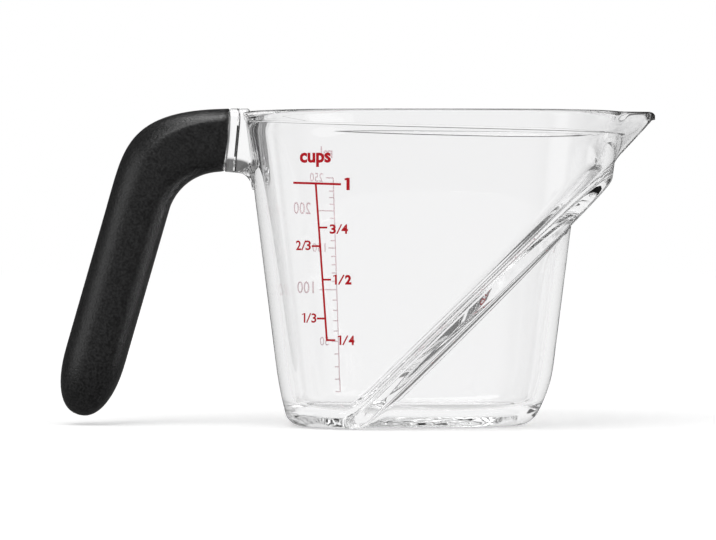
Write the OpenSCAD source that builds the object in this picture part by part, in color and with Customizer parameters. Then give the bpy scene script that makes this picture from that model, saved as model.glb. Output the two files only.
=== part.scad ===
// Clear angled measuring cup with a soft grip handle, in millimetres.
// Origin: middle of the base, on the table. +X points to the spout, +Z up.

/* [Cup] */
// Length of the mouth from handle to spout, at the rim
mouth_l = 101; // [90:0.5:115]
// Width of the mouth, at the rim
mouth_w = 82.4; // [74:0.2:96]
// Height of the rim above the table
rim_z = 83.8; // [76:0.2:94]
// Draft of the walls, in degrees
wall_draft = 7.1; // [5:0.1:9]
// Squareness of the plan, where 2 is an ellipse
plan_power = 3; // [2.4:0.1:3.6]
// Thickness of the wall
wall_t = 2.6; // [1.8:0.1:3.4]
// Thickness of the floor
floor_t = 2.8; // [2:0.1:4]
// Radius of the outer corner between wall and base
base_r = 3; // [2:0.1:4.5]
// Radius of the inner corner between wall and floor
floor_r = 5; // [3:0.5:8]
// Height under which the wall curves in towards the base
belly_h = 16; // [12:0.5:24]
// How far it curves in by at the handle and the sides
belly_back = 1.4; // [0.2:0.1:3]
// How far it curves in by below the spout
belly_front = 4.2; // [1:0.1:6]

/* [Ledge] */
// Slope of the ledge, in degrees
ledge_angle = 44.5; // [40:0.5:48]
// Where the underside of the ledge meets the table, from the middle of the cup
ledge_foot_x = -18.7; // [-24:0.2:-12]
// How far the lower wall is set in from the upper wall
ledge_w = 9.4; // [7:0.2:11]
// Thickness of the ledge
ledge_t = 4.2; // [2:0.1:5.5]

/* [Lip and spout] */
// How far the lip flares out at the rim
lip_flare = 0.8; // [0.3:0.1:1.5]
// Depth of the flared lip at the handle
lip_back = 3; // [2:0.2:5]
// Depth of the flared lip at the spout
lip_front = 6; // [4:0.2:8]
// Reach of the spout past the mouth
spout_reach = 9.7; // [6:0.1:13]
// Width of the spout where it leaves the wall
spout_w = 36; // [26:0.5:42]
// Slope of the keel under the spout, in degrees
keel_angle = 47; // [40:0.5:52]
// Height of the tip of the spout above the rim
tip_rise = 0.4; // [0.2:0.1:1.5]
// Radius at the tip of the spout
tip_r = 1.6; // [1:0.1:2.2]
// Depth of the tip under its top edge
tip_h = 1.5; // [1:0.1:3]
// Thickness of the wall of the spout
spout_t = 2.1; // [1.4:0.1:3]

/* [Neck and tang] */
// Top of the neck and grip above the rim
neck_rise = 1.3; // [0.6:0.1:2]
// Height of the neck and of the grip where they meet
neck_h = 17; // [14:0.2:19]
// Width of the neck and of the grip where they meet
neck_w = 17; // [13:0.5:20]
// Distance from the mouth to the end face of the grip
neck_l = 4.8; // [4:0.1:8]
// Thickness of the flange that the grip butts against
flange_t = 3; // [2:0.1:3.6]
// How far each side of the neck is drawn in behind the flange
neck_step = 0.7; // [0.3:0.1:1.2]
// Radius of the fillet between the neck and the wall below it
neck_root = 3.8; // [1.5:0.1:4.5]
// Tilt of the end face of the grip, in degrees
neck_tilt = 5.6; // [0:0.2:8]
// Height of the tang inside the grip
tang_h = 8; // [6:0.2:10]
// Thickness of the tang across
tang_t = 6; // [4:0.2:8]
// Part of the straight handle that the tang fills
tang_fill = 0.78; // [0.5:0.01:0.9]
// Diameter of the windows in the tang that lock the grip
window_d = 4; // [3:0.2:5]
// Number of windows
window_n = 3; // [1:1:4]

/* [Grip] */
// Distance from the end face to the outer corner that the bend rounds off
grip_reach = 25.8; // [22:0.2:32]
// How far under its inner corner the bend ends
bend_drop = 10; // [6:0.5:14]
// How closely the outer side of the bend keeps to its corner, from 0 to 1
bend_pull = 0.58; // [0.3:0.02:0.8]
// Lean of the handle from upright, in degrees
grip_lean = 16.1; // [10:0.1:20]
// Height of the lower end of the grip above the table
grip_clear = 2.5; // [0.8:0.1:6]
// Depth of the grip along its straight run
grip_h = 16.5; // [14:0.1:20]
// Widest part of the grip, across
grip_w = 21; // [17:0.5:25]
// Length of the rounded lower end
end_l = 17.2; // [10:0.2:22]
// Squareness of the lower end, where 2 is an ellipse
end_power = 2.3; // [2:0.1:3]
// Squareness of the grip's section at the end face
face_power = 4.6; // [3:0.1:6]
// Squareness of the grip's section along the straight run
run_power = 2.4; // [2:0.1:3]
// Gap between the tang and the grip
fit_gap = 0.15; // [0.05:0.05:0.4]

/* [Printed scales] */
// Volume of one cup, in millilitres
cup_ml = 236.6; // [200:0.1:250]
// Last mark of the millilitre scale
ml_top = 250; // [200:10:260]
// Step of the millilitre scale
ml_step = 10; // [10:10:50]
// Step of its longer ticks
ml_long = 100; // [50:50:100]
// Width of a printed line
line_w = 0.5; // [0.3:0.05:0.8]
// Thickness of the ink
ink_t = 0.15; // [0.1:0.05:0.3]
// Gap between the ink and the wall
ink_gap = 0.02; // [0.01:0.01:0.05]
// Length of a tick of the cup scale
tick_l = 2.2; // [1.5:0.1:4]
// Length of a short tick of the millilitre scale
ml_tick_l = 1.7; // [1:0.1:3]
// Length of a long tick of the millilitre scale
ml_long_l = 5.6; // [3:0.1:7]
// Length of the bar at the top of the cup scale
bar_l = 12.2; // [8:0.2:16]
// Place of the cup scale behind the middle of the cup, at the rim
cups_x = -32.3; // [-35:0.1:-20]
// Place of the millilitre scale behind the middle of the cup, at the rim
ml_x = -28; // [-35:0.1:-20]
// Lean of the stem of the cup scale, in degrees
cups_lean = 4; // [0:0.2:7]
// Lean of the stem of the millilitre scale, in degrees
ml_lean = 2.4; // [0:0.2:7]

/* [Hidden] */
// Counts of facets round the plan, the bottom corners, the grip and its runs
plan_n = 64;
corner_n = 5;
belly_n = 4;
grip_n = 32;
bend_n = 14;
run_n = 8;
dome_n = 8;
round_fn = 32;
// Part of a step left flat at the lower end of the grip
end_flat = 0.3;
// Parts of the grip's length by which it has its full width and its round section
wide_by = 0.8;
round_by = 0.6;
// Parts of its wall by which the inside of the spout draws back at the tip, the floor and the radius
draw_tip = 1.4;
draw_floor = 0.6;
draw_round = 0.3;
// Amount by which a cutter passes the face it cuts
over = 1;
big = 4 * mouth_l;
draft = tan(wall_draft);
slope = tan(ledge_angle);
// Height of the ledge's top face over its underside, measured upright
ledge_v = ledge_t / cos(ledge_angle);
// Colours
clear_tint = [0.86, 0.93, 0.95, 0.45];
grip_black = [0.10, 0.10, 0.11];
ink_red = [0.80, 0.10, 0.16];

// Half length and half width of the outer wall at a height
function half_l(z) = mouth_l / 2 - draft * (rim_z - z);
function half_w(z) = mouth_w / 2 - draft * (rim_z - z);
function power_of(v, p) = sign(v) * pow(abs(v), p);
function plan_point(a, b, t, n) = [a * power_of(cos(t), 2 / n), b * power_of(sin(t), 2 / n)];
function plan_y(a, b, x) = abs(x) >= a ? 0 : b * pow(1 - pow(abs(x) / a, plan_power), 1 / plan_power);
function mix(a, b, f) = a + (b - a) * f;

// How far the wall curves in towards the base, at a height and in a direction
function belly(z, t) =
    mix(belly_back, belly_front, pow(max(0, cos(t)), 2)) * pow(max(0, 1 - z / belly_h), 2);
// One ring of the wall, set in from the outer face
function wall_point(inset, z, t, grow = 0) =
    let (in = inset + belly(z, t) - grow, p = plan_point(half_l(z) - in, half_w(z) - in, t, plan_power))
    [p.x, p.y, z];
function wall_ring(inset, z, grow = 0) =
    [for (i = [0:plan_n - 1]) wall_point(inset, z, 360 * i / plan_n, grow)];
// The crease under the lip, which drops towards the spout
function crease_z(t) = rim_z - mix(lip_back, lip_front, (1 + power_of(cos(t), 2 / plan_power)) / 2);
function crease_ring(inset) =
    [for (i = [0:plan_n - 1]) let (t = 360 * i / plan_n) wall_point(inset, crease_z(t), t)];
// Rings of a rounded bottom corner of radius r that starts at height z0
function corner_rings(inset, r, z0) =
    [for (k = [0:corner_n]) let (f = 90 * k / corner_n)
        wall_ring(inset + r * (1 - sin(f)), z0 + r * (1 - cos(f)))];
// Rings of the curved stretch above the corner
function belly_rings(inset, z0) =
    [for (k = [1:belly_n]) wall_ring(inset, mix(z0, max(belly_h, z0 + over), k / belly_n))];
function foot_rings(inset, r, z0) = concat(corner_rings(inset, r, z0), belly_rings(inset, z0 + r));

// Solid through rings that all have the same number of points
module loft(rings) {
    n = len(rings[0]);
    last = len(rings) - 1;
    sides = [for (k = [0:last - 1], i = [0:n - 1])
        let (a = k * n + i, b = k * n + (i + 1) % n)
        each [[a, a + n, b], [b, a + n, b + n]]];
    bottom = [[for (i = [0:n - 1]) i]];
    top = [[for (i = [n - 1:-1:0]) last * n + i]];
    polyhedron(points = [for (r = rings) each r], faces = concat(bottom, sides, top), convexity = 6);
}

// The upper cup, without regard to the ledge
module upper_cup(inset, r, z0, top_over) {
    rim = wall_ring(inset, rim_z, lip_flare);
    above = [for (p = rim) p + [0, 0, top_over]];
    rings = concat(foot_rings(inset, r, z0), [crease_ring(inset), rim], top_over > 0 ? [above] : []);
    loft(rings);
}

// The narrower cup under the ledge
module lower_cup(inset, r, z0, z1) {
    loft(concat(foot_rings(ledge_w + inset, r, z0), [wall_ring(ledge_w + inset, z1)]));
}

// Everything above the ledge's underside raised by rise
module above_ledge(rise) {
    translate([ledge_foot_x, 0, rise])
        rotate([0, -ledge_angle, 0])
            translate([-big / 2, -big / 2, 0])
                cube(big);
}

// Where the ledge's underside reaches the front of the lower wall
ledge_front_z = slope * (mouth_l / 2 - draft * rim_z - ledge_w - ledge_foot_x) / (1 - draft * slope);

module outer_form() {
    intersection() {
        upper_cup(0, base_r, 0, 0);
        above_ledge(0);
    }
    lower_cup(0, base_r, 0, ledge_front_z + ledge_v);
}

module inner_form() {
    intersection() {
        upper_cup(wall_t, floor_r, floor_t, neck_rise + over);
        above_ledge(ledge_v);
    }
    lower_cup(wall_t, floor_r, floor_t, ledge_front_z + 2 * ledge_v);
}

// Spout: a keel from the wall to the tip, spread to a V at the rim
tip_x = mouth_l / 2 + spout_reach;
tip_z = rim_z + tip_rise - tip_h;
keel = tan(keel_angle);
keel_run = (spout_reach + draft * (tip_h - tip_rise)) / (1 - draft * keel);
root_sink = wall_t / 2;
keel_foot = [tip_x - keel_run - root_sink, tip_z - keel * (keel_run + root_sink)];
function root_x(y) = (mouth_l / 2) * pow(1 - pow(2 * y / mouth_w, plan_power), 1 / plan_power);

// The V between tip, rim and keel, made smaller by t; up lengthens it past the rim
module spout_form(t, up) {
    edge_r = tip_r / 2;
    half = spout_w / 2 - t;
    back = root_sink + t;
    tip_at = tip_x - tip_r - draw_tip * t;
    keel_at = keel_foot + (tip_r + draw_tip * t) * [-sin(keel_angle), cos(keel_angle)];
    hull() {
        translate([tip_at, 0, tip_z + draw_floor * t])
            cylinder(r = tip_r - draw_round * t, h = tip_h - draw_floor * t + up, $fn = round_fn);
        for (s = [-1, 1])
            translate([root_x(half) - back, s * half, rim_z - lip_front / 2])
                cylinder(r = edge_r, h = lip_front / 2 + up, $fn = round_fn);
        translate([keel_at.x, 0, keel_at.y])
            sphere(r = tip_r, $fn = round_fn);
    }
}

// End face of the grip in the middle plane, and the directions of the face and of the straight run
face_mid = [-mouth_l / 2 - neck_l, rim_z + neck_rise - neck_h / 2];
face_up = [sin(neck_tilt), cos(neck_tilt)];
face_out = [-cos(neck_tilt), sin(neck_tilt)];
face_top = face_mid + neck_h / 2 * face_up;
face_low = face_mid - neck_h / 2 * face_up;
run_down = [-sin(grip_lean), -cos(grip_lean)];
run_in = [cos(grip_lean), -sin(grip_lean)];

// The corners that the two sides of the bend round off, and where the bend ends
out_corner = [face_top.x - grip_reach, face_top.y];
side_shift = grip_h / cos(grip_lean) - (face_top.y - face_low.y) * tan(grip_lean);
in_corner = [out_corner.x + side_shift, face_low.y];
in_end = in_corner + bend_drop * run_down;
out_end = in_end - grip_h * run_in;
mid_end = (in_end + out_end) / 2;
run_l = (mid_end.y - grip_clear) / cos(grip_lean) - end_l;

// A side of the bend, from p round the corner to q
function bend(p, corner, q, pull, t) =
    pow(1 - t, 3) * p + 3 * t * pow(1 - t, 2) * corner
        + 3 * t * t * (1 - t) * mix(q, corner, pull) + pow(t, 3) * q;
// Stations of the grip: its outer and its inner point, round the bend and down the run
bend_st = [for (k = [0:bend_n]) let (t = k / bend_n)
    [bend(face_top, out_corner, out_end, bend_pull, t), bend(face_low, in_corner, in_end, 0, t)]];
run_st = [for (k = [1:run_n]) let (d = k / run_n * run_l * run_down) [out_end + d, in_end + d]];
stations = concat(bend_st, run_st);

// Width and squareness of the grip along its length, f from 0 to 1
function grip_width(f) = mix(neck_w, grip_w, pow(sin(90 * min(1, f / wide_by)), 2));
function grip_power(f) = mix(face_power, run_power, min(1, f / round_by));

// One ring of the grip at a station, pushed along and shrunk for the round end
function grip_ring(st, f, push = 0, shrink = 1) =
    let (c = (st[0] + st[1]) / 2 + push * run_down, v = (st[1] - st[0]) / 2 * shrink)
    [for (i = [0:grip_n - 1])
        let (s = plan_point(1, grip_width(f) / 2 * shrink, -360 * i / grip_n, grip_power(f)), e = c + s.x * v)
        [e.x, s.y, e.y]];

module grip_form() {
    last = len(stations) - 1;
    body = [for (k = [0:last]) grip_ring(stations[k], k / last)];
    dome = [for (k = [1:dome_n])
        let (a = 90 * k / (dome_n + end_flat), push = end_l * pow(sin(a), 2 / end_power))
        grip_ring(stations[last], 1, push, pow(cos(a), 2 / end_power))];
    loft(concat(body, dome));
}

// Outline of the tang, grown by gap, from the flange to its rounded end
tang_end = mid_end + tang_fill * run_l * run_down;
function tang_point(st, r) = (st[0] + st[1]) / 2 + r * (st[0] - st[1]) / norm(st[0] - st[1]);
function tang_side(r) = concat(
    [face_mid - flange_t / 2 * face_out + r * face_up],
    [for (st = bend_st) tang_point(st, r)]);
function tang_outline(gap) =
    let (r = tang_h / 2 + gap, back = tang_side(-r))
    concat(tang_side(r),
        [for (k = [0:corner_n * 2]) let (a = 180 * k / (corner_n * 2))
            tang_end - r * cos(a) * run_in + r * sin(a) * run_down],
        [for (k = [len(back) - 1:-1:0]) back[k]]);

module tang_form(gap) {
    rotate([90, 0, 0])
        linear_extrude(tang_t + 2 * gap, center = true)
            polygon(tang_outline(gap));
}

// Round bars across the tang, where the grip locks through it
module window_bars(d) {
    for (k = [1:window_n]) {
        p = mid_end + tang_fill * run_l * k / (window_n + 1) * run_down;
        translate([p.x, 0, p.y])
            rotate([90, 0, 0])
                cylinder(d = d, h = tang_t + 2 * over, center = true, $fn = round_fn);
    }
}

// Ring of the neck at a distance from the end face, its top kept level and its lower edge let down by drop
function neck_ring(far, step, drop) =
    let (rise = far * tan(neck_tilt))
    [for (i = [0:grip_n - 1])
        let (p = plan_point((neck_h + drop + rise) / 2, neck_w / 2 - step, 360 * i / grip_n, face_power))
        [p.x + (drop - rise) / 2, p.y, far]];
// Distance from the end face to the wall under the neck
neck_run = -half_l(face_low.y) - face_low.x;

// Flange, then a flat-sided neck with a fillet below
module neck_form() {
    fillet = [for (k = [0:corner_n]) let (a = 90 * k / corner_n)
        neck_ring(neck_run - neck_root * (1 - sin(a)), neck_step, neck_root * (1 - cos(a)))];
    translate([face_mid.x, 0, face_mid.y])
        rotate([0, 90 + neck_tilt, 0]) {
            loft([neck_ring(0, 0, 0), neck_ring(flange_t, 0, 0)]);
            loft(concat(
                [neck_ring(flange_t / 2, neck_step, 0)],
                fillet,
                [neck_ring(neck_run + wall_t, neck_step, neck_root)]));
        }
}

module cup_body() {
    color(clear_tint) {
        difference() {
            union() {
                outer_form();
                spout_form(0, 0);
                neck_form();
            }
            inner_form();
            spout_form(spout_t, over);
        }
        difference() {
            tang_form(0);
            window_bars(window_d);
        }
    }
}

module handle_grip() {
    color(grip_black) {
        difference() {
            grip_form();
            tang_form(fit_gap);
        }
        window_bars(window_d - 2 * fit_gap);
    }
}

// Capacity: the wetted section at a height, and the level of a volume
strip_n = 40;
level_n = 60;
mm3_in_ml = 1000;
function inner_y(x, z, inset) =
    let (q = max(0, floor_r + floor_t - z), cut = inset + floor_r - sqrt(floor_r * floor_r - q * q))
    plan_y(half_l(z) - cut - belly(z, x > 0 ? 0 : 180), half_w(z) - cut - belly(z, 90), x);
function ledge_x(z) = ledge_foot_x + (z - ledge_v) / slope;
function section(z) =
    let (a = half_l(z) - wall_t, step = 2 * a / strip_n)
    step * 2 * sum([for (k = [0:strip_n - 1]) let (x = -a + (k + 0.5) * step)
        inner_y(x, z, x < ledge_x(z) ? wall_t : wall_t + ledge_w)]);
function sum(v, k = 0) = k < len(v) ? v[k] + sum(v, k + 1) : 0;
level_step = (rim_z - floor_t) / level_n;
slices = [for (k = [0:level_n - 1]) section(floor_t + (k + 0.5) * level_step) * level_step / mm3_in_ml];
levels = [for (k = 0, v = 0; k <= level_n; v = v + (k < level_n ? slices[k] : 0), k = k + 1)
    [v, floor_t + k * level_step]];
function level(ml) = lookup(ml, levels);

// Middle of a printed stem at a height
function stem_x(z, x0, lean) = x0 + (rim_z - z) * tan(lean);

// A printed stroke between two points of the side view
module stroke(p, q) {
    d = q - p;
    translate(p)
        rotate(atan2(d.y, d.x))
            translate([0, -line_w / 2])
                square([norm(d), line_w]);
}

// A thin skin on the outside of the wall, kept where the strokes cross it
module wall_ink() {
    z1 = rim_z - lip_front;
    intersection() {
        difference() {
            loft(concat(belly_rings(-ink_gap - ink_t, base_r), [wall_ring(-ink_gap - ink_t, z1)]));
            loft(concat(foot_rings(-ink_gap, base_r, 0), [wall_ring(-ink_gap, z1 + over)]));
        }
        rotate([90, 0, 0])
            linear_extrude(mouth_w)
                children();
    }
}

// A stem between two heights, and a tick that leaves it
module stem(x0, lean, top, low) {
    stroke([stem_x(top, x0, lean), top], [stem_x(low, x0, lean), low]);
}

module tick(x0, lean, z, l) {
    stroke([stem_x(z, x0, lean), z], [stem_x(z, x0, lean) + l, z]);
}

module cups_scale() {
    top = level(cup_ml);
    color(ink_red)
        wall_ink() {
            stem(cups_x, cups_lean, top, level(cup_ml / 4) - line_w / 2);
            tick(cups_x, cups_lean, top, bar_l / 2);
            tick(cups_x, cups_lean, top, -bar_l / 2);
            for (part = [1 / 4, 1 / 2, 3 / 4])
                tick(cups_x, cups_lean, level(cup_ml * part), tick_l);
            for (part = [1 / 3, 2 / 3])
                tick(cups_x, cups_lean, level(cup_ml * part), -tick_l);
        }
}

module millilitre_scale() {
    color(ink_red)
        mirror([0, 1, 0])
            wall_ink() {
                stem(ml_x, ml_lean, level(ml_top), level(ml_step));
                for (ml = [ml_step:ml_step:ml_top])
                    tick(ml_x, ml_lean, level(ml), ml % ml_long == 0 ? -ml_long_l : -ml_tick_l);
            }
}

module ledge_scale() {
    stem_y = half_w(ledge_front_z / 2) - ledge_w / 2;
    color(ink_red)
        translate([ledge_foot_x, 0, 0])
            rotate([0, -ledge_angle, 0])
                translate([0, 0, -ink_gap - ink_t])
                    linear_extrude(ink_t)
                        for (s = [-1, 1]) {
                            run = [for (part = [1 / 4, 1 / 3, 1 / 2, 2 / 3, 3 / 4])
                                (level(cup_ml * part) - ledge_v) / sin(ledge_angle)];
                            stroke([run[0] - line_w / 2, s * stem_y], [run[4] + line_w / 2, s * stem_y]);
                            for (u = run)
                                stroke([u, s * stem_y], [u, s * (stem_y + tick_l)]);
                        }
}

cup_body();
handle_grip();
cups_scale();
millilitre_scale();
ledge_scale();
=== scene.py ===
import math
import bpy
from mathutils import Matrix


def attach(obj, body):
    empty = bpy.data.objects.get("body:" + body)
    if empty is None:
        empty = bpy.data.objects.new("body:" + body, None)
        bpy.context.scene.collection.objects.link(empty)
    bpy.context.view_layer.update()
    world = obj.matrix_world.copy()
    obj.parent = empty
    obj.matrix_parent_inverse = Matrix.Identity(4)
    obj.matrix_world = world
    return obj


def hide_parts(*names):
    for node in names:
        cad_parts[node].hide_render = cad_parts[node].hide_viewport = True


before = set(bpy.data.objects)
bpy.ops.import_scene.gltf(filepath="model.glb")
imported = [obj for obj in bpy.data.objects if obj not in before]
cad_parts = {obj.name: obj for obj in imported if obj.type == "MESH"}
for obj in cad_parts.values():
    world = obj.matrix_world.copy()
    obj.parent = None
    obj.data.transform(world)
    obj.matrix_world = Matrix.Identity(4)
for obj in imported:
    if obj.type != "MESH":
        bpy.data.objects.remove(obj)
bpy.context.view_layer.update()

# pieces are modelled in millimetres and brought to metres when they are finished
mm = 0.001
tiny = 1e-6


def clearSelection():
    if bpy.context.object and bpy.context.object.mode != "OBJECT":
        bpy.ops.object.mode_set(mode="OBJECT")
    bpy.ops.object.select_all(action="DESELECT")


def makeActive(piece):
    clearSelection()
    piece.select_set(True)
    bpy.context.view_layer.objects.active = piece


def applyModifier(piece, kind, **settings):
    makeActive(piece)
    bpy.ops.object.modifier_add(type=kind)
    modifier = piece.modifiers[-1]
    for key, value in settings.items():
        setattr(modifier, key, value)
    bpy.ops.object.modifier_apply(modifier=modifier.name)


# a grid rolled into a tube, one row for each ring, its seam merged and its ends closed
def rollTube(name, rings, mergeGap=0.004):
    clearSelection()
    around = len(rings[0])
    bpy.ops.mesh.primitive_grid_add(x_subdivisions=around, y_subdivisions=len(rings) - 1, size=1)
    piece = bpy.context.object
    piece.name = name
    for row, ring in enumerate(rings):
        for i in range(around + 1):
            piece.data.vertices[row * (around + 1) + i].co = ring[i % around]
    bpy.ops.object.mode_set(mode="EDIT")
    bpy.ops.mesh.select_all(action="SELECT")
    bpy.ops.mesh.remove_doubles(threshold=mergeGap)
    bpy.ops.mesh.fill_holes(sides=0)
    bpy.ops.mesh.select_all(action="SELECT")
    bpy.ops.mesh.normals_make_consistent(inside=False)
    bpy.ops.object.mode_set(mode="OBJECT")
    return piece


# to metres, smooth, and onto its body, in place of its node
def finishPiece(piece, node, smoothAngle=40):
    makeActive(piece)
    bpy.ops.transform.resize(value=(mm, mm, mm), center_override=(0, 0, 0))
    bpy.ops.object.transform_apply(location=True, rotation=True, scale=True)
    bpy.ops.object.shade_smooth_by_angle(angle=math.radians(smoothAngle))
    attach(piece, "root")
    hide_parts(node)
    print(piece.name, len(piece.data.polygons), "faces")


# how far along a line of points each one is; turnWeight adds length where the line turns
def placesAlong(line, turnWeight):
    steps = [(b[0] - a[0], b[1] - a[1]) for a, b in zip(line, line[1:])]
    heads = [math.atan2(dz, dx) for dx, dz in steps]
    turns = [0.0]
    for (p, a), (q, b) in zip(zip(steps, heads), zip(steps[1:], heads[1:])):
        short = min(math.hypot(*p), math.hypot(*q)) < tiny
        turns.append(0.0 if short else abs(math.remainder(b - a, 2 * math.pi)))
    turns.append(0.0)
    places = [0.0]
    for k, step in enumerate(steps):
        places.append(places[-1] + math.hypot(*step) + turnWeight * (turns[k] + turns[k + 1]) / 2)
    return places


# points at even distances on a line of points, from one distance along it to another
def evenPoints(line, start, end, count, turnWeight=0.0):
    if turnWeight:
        line = cutLine(line, start, end)
    places = placesAlong(line, turnWeight)
    if turnWeight:
        start, end = 0.0, places[-1]
    points = []
    k = 0
    for i in range(count):
        d = start + (end - start) * i / (count - 1)
        while k < len(line) - 2 and places[k + 1] < d:
            k += 1
        run = places[k + 1] - places[k]
        f = 0 if run == 0 else min(1, max(0, (d - places[k]) / run))
        points.append(tuple(a + (b - a) * f for a, b in zip(line[k], line[k + 1])))
    return points


# the stretch of a line between two distances along it
def cutLine(line, start, end):
    places = placesAlong(line, 0.0)
    first, last = evenPoints(line, start, end, 2)
    return [first] + [p for p, d in zip(line, places) if start < d < end] + [last]


def lineLength(line):
    return sum(math.dist(p, q) for p, q in zip(line, line[1:]))


# a soft corner between two points, pulled to the corner point
def softCorner(p, corner, q, count):
    points = []
    for i in range(1, count + 1):
        f = i / (count + 1)
        points.append(tuple((1 - f) ** 2 * a + 2 * f * (1 - f) * c + f * f * b
                            for a, c, b in zip(p, corner, q)))
    return points


def mix(a, b, f):
    return a + (b - a) * f


def add(p, d, by=1.0):
    return tuple(a + b * by for a, b in zip(p, d))


cup = dict(
    mouthLength=101.0, mouthWidth=82.4, rimHeight=83.8, draft=7.1, squareness=3.0,
    wall=2.6, floor=2.8, baseRound=3.0, floorRound=5.0,
    bellyHeight=16.0, bellyBack=1.4, bellyFront=4.2, frontFrom=0.001,   # the wall curves in at the base
    ledgeAngle=44.5, ledgeFoot=-18.7, ledgeWidth=9.4, ledgeThick=4.2,
    hollowRound=2.4, edgeRound=1.2,   # soft corners of the ledge, hollow and proud
    lipFlare=0.8, lipBack=2.0, lipFront=6.0, lipCurve=0.45, lipStep=0.3, rimRound=1.0,
    spoutReach=9.7, spoutHalf=14.6, keelAngle=47.0, keelFlat=0.62, tipRise=0.4, tipDepth=1.5,
    tipRound=1.7, noseRound=1.6, noseLong=2.1, noseDrop=1.35, spoutWall=2.3, spoutBlend=1.8,
    stepShape=((0.5, 0.1), (1.0, 0.8)), inLipFrom=0.4,   # the step under the lip, out and up
    spoutZone=(30, 26, 62), riseDepth=4.0,   # where points are pulled out to the spout
    # points along each stretch of a column, and columns around
    hubPoints=3, lowerPoints=34, ledgePoints=6, upperPoints=48, bendPoints=6, lipPoints=6, rimPoints=5,
    cornerSteps=14, wallSteps=24, wallEase=1.6, meetTries=40, bendRoom=0.4, bendWeight=20.0,
    columns=200, spoutColumns=130, spoutTurn=0.5)

draft = math.tan(math.radians(cup["draft"]))
ledgeSlope = math.tan(math.radians(cup["ledgeAngle"]))
ledgeUpright = cup["ledgeThick"] / math.cos(math.radians(cup["ledgeAngle"]))


def halfLength(z):
    return cup["mouthLength"] / 2 - draft * (cup["rimHeight"] - z)


def halfWidth(z):
    return cup["mouthWidth"] / 2 - draft * (cup["rimHeight"] - z)


# distance from the axis to the wall in one direction, at a height
def wallReach(turn, z, inset):
    n = cup["squareness"]
    along = abs(math.cos(turn)) / (halfLength(z) - inset)
    across = abs(math.sin(turn)) / (halfWidth(z) - inset)
    return (along ** n + across ** n) ** (-1 / n)


# outside of the wall at the ends of the cup
def wallEnd(y, z):
    n = cup["squareness"]
    return halfLength(z) * (1 - min(1, abs(y) / halfWidth(z)) ** n) ** (1 / n)


def cornerInset(rise, r):
    return r - math.sqrt(r * r - (r - rise) ** 2) if rise < r else 0


# how far the wall curves in towards the base, most below the spout
def belly(turn, z):
    front = 0.0
    if math.cos(turn) > cup["frontFrom"]:
        front = 1 / (1 + (abs(math.tan(turn)) * halfLength(z) / halfWidth(z)) ** cup["squareness"])
    return mix(cup["bellyBack"], cup["bellyFront"], front) * max(0, 1 - z / cup["bellyHeight"]) ** 2


# one skin of the cup in one direction, from the middle of the bottom to the crease under the lip
def skinLine(turn, inset, bottom, r, ledgeRise, hollowAtWall):
    toward = math.cos(turn)

    def reach(z, step):
        return wallReach(turn, z, inset + step + cornerInset(z - bottom, r) + belly(turn, z))

    def ledgeHeight(far):
        return ledgeSlope * (far * toward - cup["ledgeFoot"]) + ledgeRise

    # where a wall meets the ledge, or None where it starts on the bottom
    def meet(step):
        if bottom >= ledgeHeight(reach(bottom, step)):
            return None
        low, high = bottom, cup["rimHeight"]
        for _ in range(cup["meetTries"]):
            mid = (low + high) / 2
            if mid < ledgeHeight(reach(mid, step)):
                low = mid
            else:
                high = mid
        return high

    def wallRun(step, z0, z1):
        heights = []
        if z0 < bottom + r:
            f0 = math.acos(1 - (z0 - bottom) / r)
            f1 = math.acos(max(0, 1 - (z1 - bottom) / r))
            count = cup["cornerSteps"]
            heights = [bottom + r * (1 - math.cos(mix(f0, f1, i / count))) for i in range(count)]
            z0 = min(z1, bottom + r)
        count = cup["wallSteps"]
        heights += [mix(z0, z1, (i / count) ** cup["wallEase"]) for i in range(count + 1)]
        return [(reach(z, step), z) for z in heights]

    low = meet(cup["ledgeWidth"])
    high = meet(0)
    footLine = (bottom - ledgeRise) / ledgeSlope + cup["ledgeFoot"]
    crease = creaseHeight(turn)
    if low is None:
        lower = [(0, bottom), (footLine / toward, bottom)]
    else:
        lower = [(0, bottom)] + wallRun(cup["ledgeWidth"], bottom, low)
    if high is None:
        upper = [(footLine / toward, bottom)] + wallRun(0, bottom, crease)
    else:
        upper = wallRun(0, high, crease)
    ledge = [lower[-1], upper[0]]
    width = lineLength(ledge)
    # soft corners at the ledge's two ends, kept to a share of the room there
    rounds = [cup["hollowRound"], cup["edgeRound"]]
    if hollowAtWall:
        rounds.reverse()
    room = cup["bendRoom"]
    d0 = min(rounds[0], room * width, room * lineLength(lower[1:]))
    d1 = min(rounds[1], room * width)
    hub = lineLength(lower[:2])
    bend = cup["bendPoints"]
    points = evenPoints(lower, hub / 2, hub, cup["hubPoints"])
    points += evenPoints(lower, hub, lineLength(lower) - d0, cup["lowerPoints"], cup["bendWeight"])[1:]
    ledgePoints = evenPoints(ledge, d0, width - d1, cup["ledgePoints"])
    points += softCorner(points[-1], ledge[0], ledgePoints[0], bend) + ledgePoints
    upperPoints = evenPoints(upper, d1, lineLength(upper), cup["upperPoints"], cup["bendWeight"])
    points += softCorner(points[-1], ledge[1], upperPoints[0], bend) + upperPoints
    return points


# the crease under the lip drops towards the spout
def creaseHeight(turn):
    far = wallReach(turn, cup["rimHeight"], 0) * math.cos(turn) / (cup["mouthLength"] / 2)
    forward = max(0, (1 + far) / 2) ** cup["lipCurve"]
    return cup["rimHeight"] - mix(cup["lipBack"], cup["lipFront"], forward)


# the V of the spout: an upright lip over a keel that runs down to the wall
spoutTip = cup["mouthLength"] / 2 + cup["spoutReach"]
keelRun = 1 / math.tan(math.radians(cup["keelAngle"]))
spoutSlant = cup["spoutReach"] / cup["spoutHalf"]


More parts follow.
